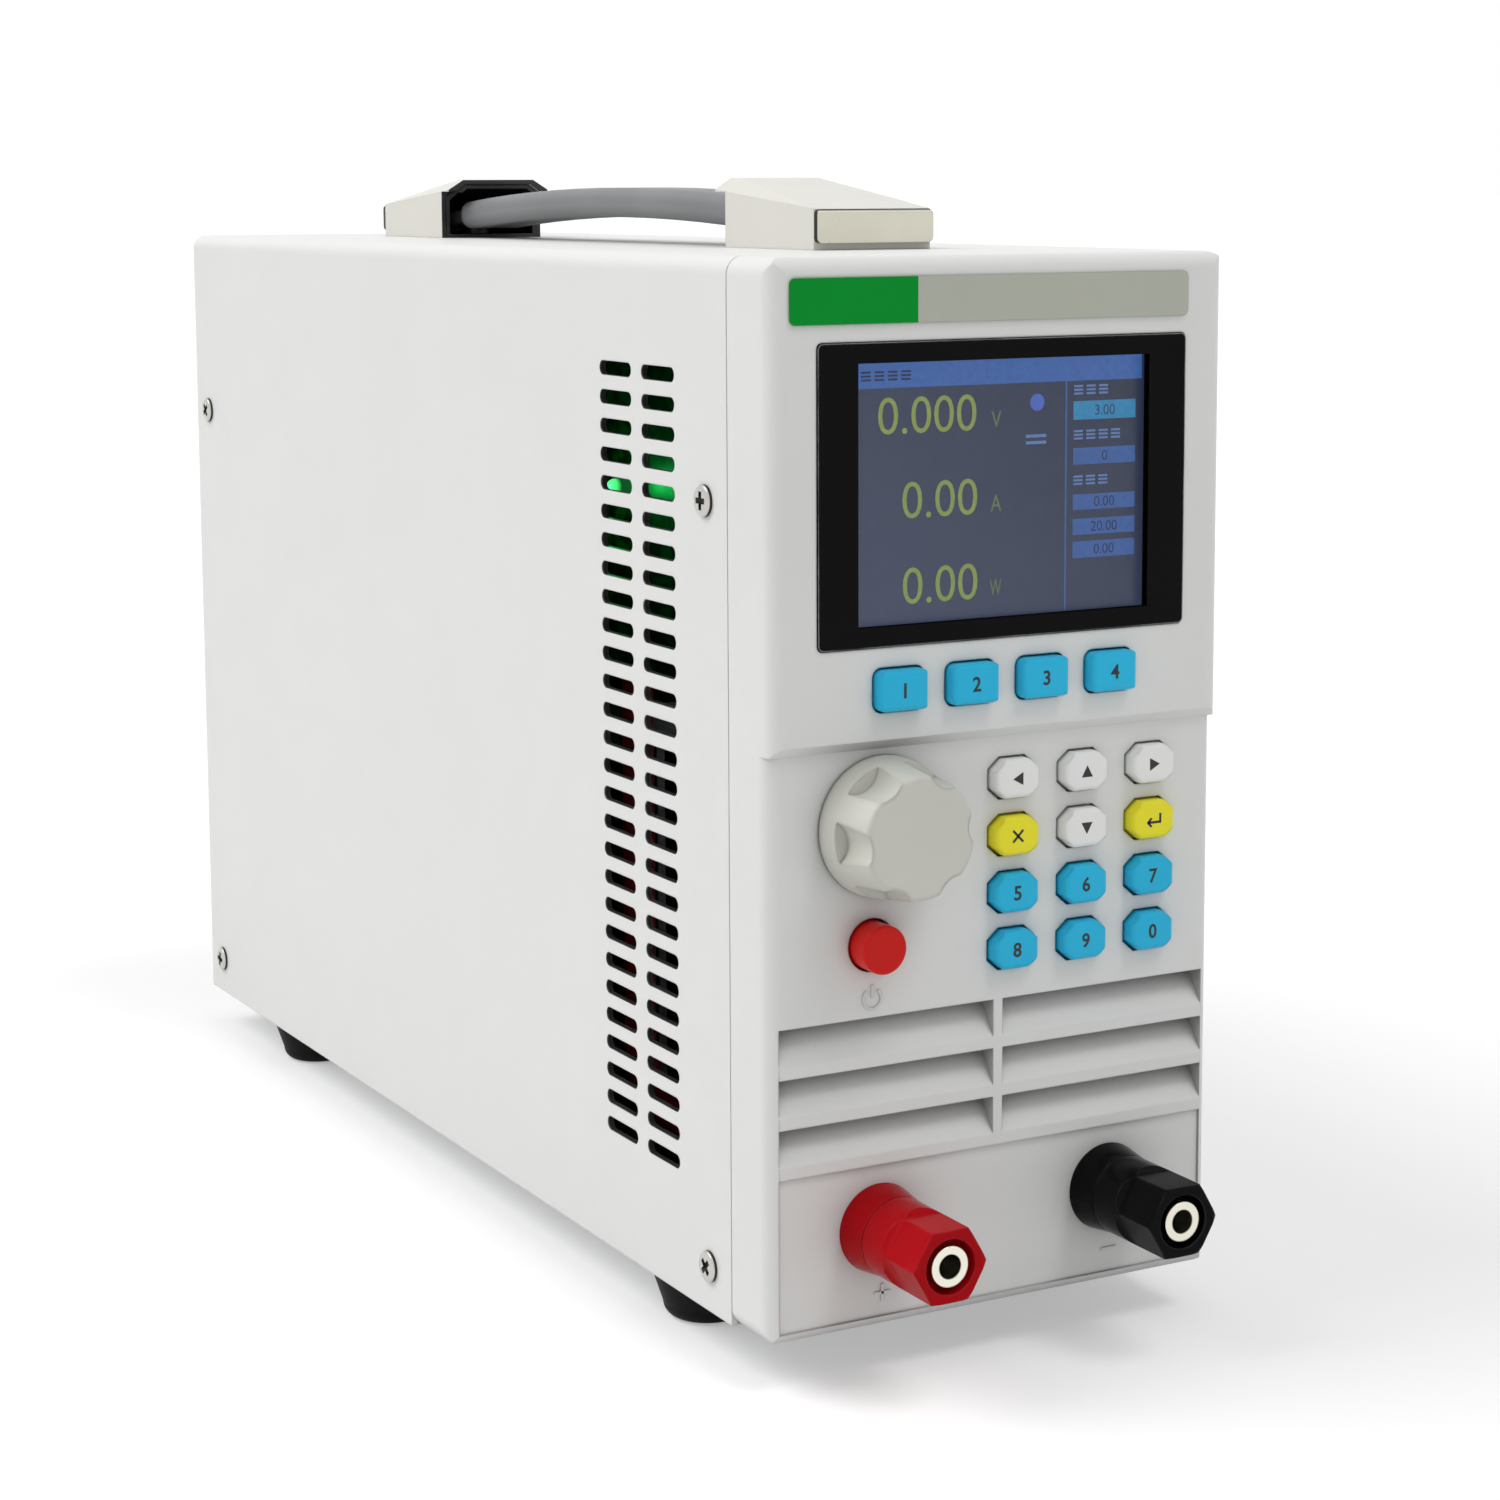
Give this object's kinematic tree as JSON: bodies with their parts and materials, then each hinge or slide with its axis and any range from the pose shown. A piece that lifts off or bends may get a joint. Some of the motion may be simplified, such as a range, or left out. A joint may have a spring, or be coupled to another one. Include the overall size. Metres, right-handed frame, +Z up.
{
  "type": "dc electronic load",
  "caption": "Tall bench dc electronic load: sheet metal case, louvred moulded bezel with display, rotary knob, push keys, screw binding posts, strap handle and rear fan.",
  "frame": {"origin": "on the ground under the middle of the outline", "axes": "+Z up, the front faces -Y, +X to the right seen from the front"},
  "size_m": [0.0912, 0.306, 0.199],
  "materials": {
    "case_paint": "fine matt paint",
    "chassis_steel": "zinc plated sheet",
    "bezel_plastic": "fine grained moulding",
    "window": "black screen print on clear window",
    "display": "lit colour display",
    "strip": "printed two-tone strip, left bare",
    "board": "solder mask",
    "mat_rubber": "silicone",
    "key_blue": "satin",
    "key_white": "satin",
    "key_yellow": "satin",
    "knob_plastic": "satin",
    "bright_steel": "bright plated",
    "black_plastic": "fine matt",
    "button_red": "gloss",
    "post_red": "gloss",
    "post_black": "gloss",
    "nickel": "nickel plated",
    "lead_red": "silicone insulation",
    "lead_black": "silicone insulation",
    "strap_vinyl": "soft vinyl",
    "cap_plastic": "satin",
    "foot_rubber": "matt",
    "sink_aluminium": "extruded",
    "lamp_green": "clear tinted",
    "core": "varnished laminations"
  },
  "bodies": {
    "case": {"top_cover": "case_paint", "rear_panel": "case_paint", "chassis": "chassis_steel", "front_bezel": "bezel_plastic", "display_lens": "window", "display_module": "display", "name_strip": "strip", "front_board": "board", "power_board": "board", "keypad_mat": "mat_rubber", "large_screws": "bright_steel", "cover_screws": "bright_steel", "inner_screws": "bright_steel", "fan_guard": "bright_steel", "fan_screws": "bright_steel", "encoder_body": "black_plastic", "power_switch": "black_plastic", "handle_brackets": "black_plastic", "power_transistors": "black_plastic", "fan_frame": "black_plastic", "mains_inlet": "black_plastic", "post_base_red": "post_red", "post_base_black": "post_black", "post_tubes": "nickel", "post_nuts": "nickel", "handle_trims": "nickel", "serial_port": "nickel", "red_lead": "lead_red", "black_lead": "lead_black", "handle_cap_front": "cap_plastic", "handle_cap_rear": "cap_plastic", "rubber_feet": "foot_rubber", "heat_sink": "sink_aluminium", "status_lamp": "lamp_green", "transformer": "core"},
    "key_blue_1": {"key_blue_1": "key_blue"},
    "key_blue_2": {"key_blue_2": "key_blue"},
    "key_blue_3": {"key_blue_3": "key_blue"},
    "key_blue_4": {"key_blue_4": "key_blue"},
    "key_blue_5": {"key_blue_5": "key_blue"},
    "key_blue_6": {"key_blue_6": "key_blue"},
    "key_down": {"key_down": "key_white"},
    "key_left": {"key_left": "key_white"},
    "key_right": {"key_right": "key_white"},
    "key_up": {"key_up": "key_white"},
    "key_yellow_left": {"key_yellow_left": "key_yellow"},
    "key_yellow_right": {"key_yellow_right": "key_yellow"},
    "soft_key_1": {"soft_key_1": "key_blue"},
    "soft_key_2": {"soft_key_2": "key_blue"},
    "soft_key_3": {"soft_key_3": "key_blue"},
    "soft_key_4": {"soft_key_4": "key_blue"},
    "power_button": {"power_button": "button_red"},
    "knob": {"knob": "knob_plastic", "encoder_shaft": "bright_steel"},
    "post_washer_red": {"post_washer_red": "nickel"},
    "post_cap_red": {"post_cap_red": "post_red"},
    "post_washer_black": {"post_washer_black": "nickel"},
    "post_cap_black": {"post_cap_black": "post_black"},
    "fan_rotor": {"fan_rotor": "black_plastic"},
    "handle_strap": {"handle_strap": "strap_vinyl"}
  },
  "joints": [
    {"name": "key_blue_1_press", "type": "slide", "parent": "case", "child": "key_blue_1", "axis": [0, 1, 0], "range_m": [0, 0.001], "stiffness_N_per_m": 500},
    {"name": "key_blue_2_press", "type": "slide", "parent": "case", "child": "key_blue_2", "axis": [0, 1, 0], "range_m": [0, 0.001], "stiffness_N_per_m": 500},
    {"name": "key_blue_3_press", "type": "slide", "parent": "case", "child": "key_blue_3", "axis": [0, 1, 0], "range_m": [0, 0.001], "stiffness_N_per_m": 500},
    {"name": "key_blue_4_press", "type": "slide", "parent": "case", "child": "key_blue_4", "axis": [0, 1, 0], "range_m": [0, 0.001], "stiffness_N_per_m": 500},
    {"name": "key_blue_5_press", "type": "slide", "parent": "case", "child": "key_blue_5", "axis": [0, 1, 0], "range_m": [0, 0.001], "stiffness_N_per_m": 500},
    {"name": "key_blue_6_press", "type": "slide", "parent": "case", "child": "key_blue_6", "axis": [0, 1, 0], "range_m": [0, 0.001], "stiffness_N_per_m": 500},
    {"name": "key_down_press", "type": "slide", "parent": "case", "child": "key_down", "axis": [0, 1, 0], "range_m": [0, 0.001], "stiffness_N_per_m": 500},
    {"name": "key_left_press", "type": "slide", "parent": "case", "child": "key_left", "axis": [0, 1, 0], "range_m": [0, 0.001], "stiffness_N_per_m": 500},
    {"name": "key_right_press", "type": "slide", "parent": "case", "child": "key_right", "axis": [0, 1, 0], "range_m": [0, 0.001], "stiffness_N_per_m": 500},
    {"name": "key_up_press", "type": "slide", "parent": "case", "child": "key_up", "axis": [0, 1, 0], "range_m": [0, 0.001], "stiffness_N_per_m": 500},
    {"name": "key_yellow_left_press", "type": "slide", "parent": "case", "child": "key_yellow_left", "axis": [0, 1, 0], "range_m": [0, 0.001], "stiffness_N_per_m": 500},
    {"name": "key_yellow_right_press", "type": "slide", "parent": "case", "child": "key_yellow_right", "axis": [0, 1, 0], "range_m": [0, 0.001], "stiffness_N_per_m": 500},
    {"name": "soft_key_1_press", "type": "slide", "parent": "case", "child": "soft_key_1", "axis": [0, 1, 0], "range_m": [0, 0.001], "stiffness_N_per_m": 500},
    {"name": "soft_key_2_press", "type": "slide", "parent": "case", "child": "soft_key_2", "axis": [0, 1, 0], "range_m": [0, 0.001], "stiffness_N_per_m": 500},
    {"name": "soft_key_3_press", "type": "slide", "parent": "case", "child": "soft_key_3", "axis": [0, 1, 0], "range_m": [0, 0.001], "stiffness_N_per_m": 500},
    {"name": "soft_key_4_press", "type": "slide", "parent": "case", "child": "soft_key_4", "axis": [0, 1, 0], "range_m": [0, 0.001], "stiffness_N_per_m": 500},
    {"name": "power_press", "type": "slide", "parent": "case", "child": "power_button", "axis": [0, 1, 0], "range_m": [-0.0025, 0.0008]},
    {"name": "knob_turn", "type": "hinge", "parent": "case", "child": "knob", "pos_m": [-0.023, -0.13805, 0.0939], "axis": [0, -1, 0], "continuous": true},
    {"name": "post_red_slide", "type": "slide", "parent": "case", "child": "post_washer_red", "axis": [0, -1, 0], "range_m": [0, 0.006]},
    {"name": "post_red_turn", "type": "hinge", "parent": "post_washer_red", "child": "post_cap_red", "pos_m": [-0.0228, -0.14505, 0.0257], "axis": [0, -1, 0], "range_deg": [0, 2160]},
    {"name": "post_black_slide", "type": "slide", "parent": "case", "child": "post_washer_black", "axis": [0, -1, 0], "range_m": [0, 0.006]},
    {"name": "post_black_turn", "type": "hinge", "parent": "post_washer_black", "child": "post_cap_black", "pos_m": [0.0228, -0.14505, 0.0257], "axis": [0, -1, 0], "range_deg": [0, 2160]},
    {"name": "fan_spin", "type": "hinge", "parent": "case", "child": "fan_rotor", "pos_m": [0, 0.13195, 0.0585], "axis": [0, 1, 0], "continuous": true},
    {"name": "strap_lift", "type": "slide", "parent": "case", "child": "handle_strap", "axis": [0, 0, 1], "range_m": [0, 0.0012]}
  ],
  "couplings": [
    {"joint": "post_red_turn", "follows": "post_red_slide", "rad_per_m": 6283.2},
    {"joint": "post_black_turn", "follows": "post_black_slide", "rad_per_m": 6283.2}
  ]
}
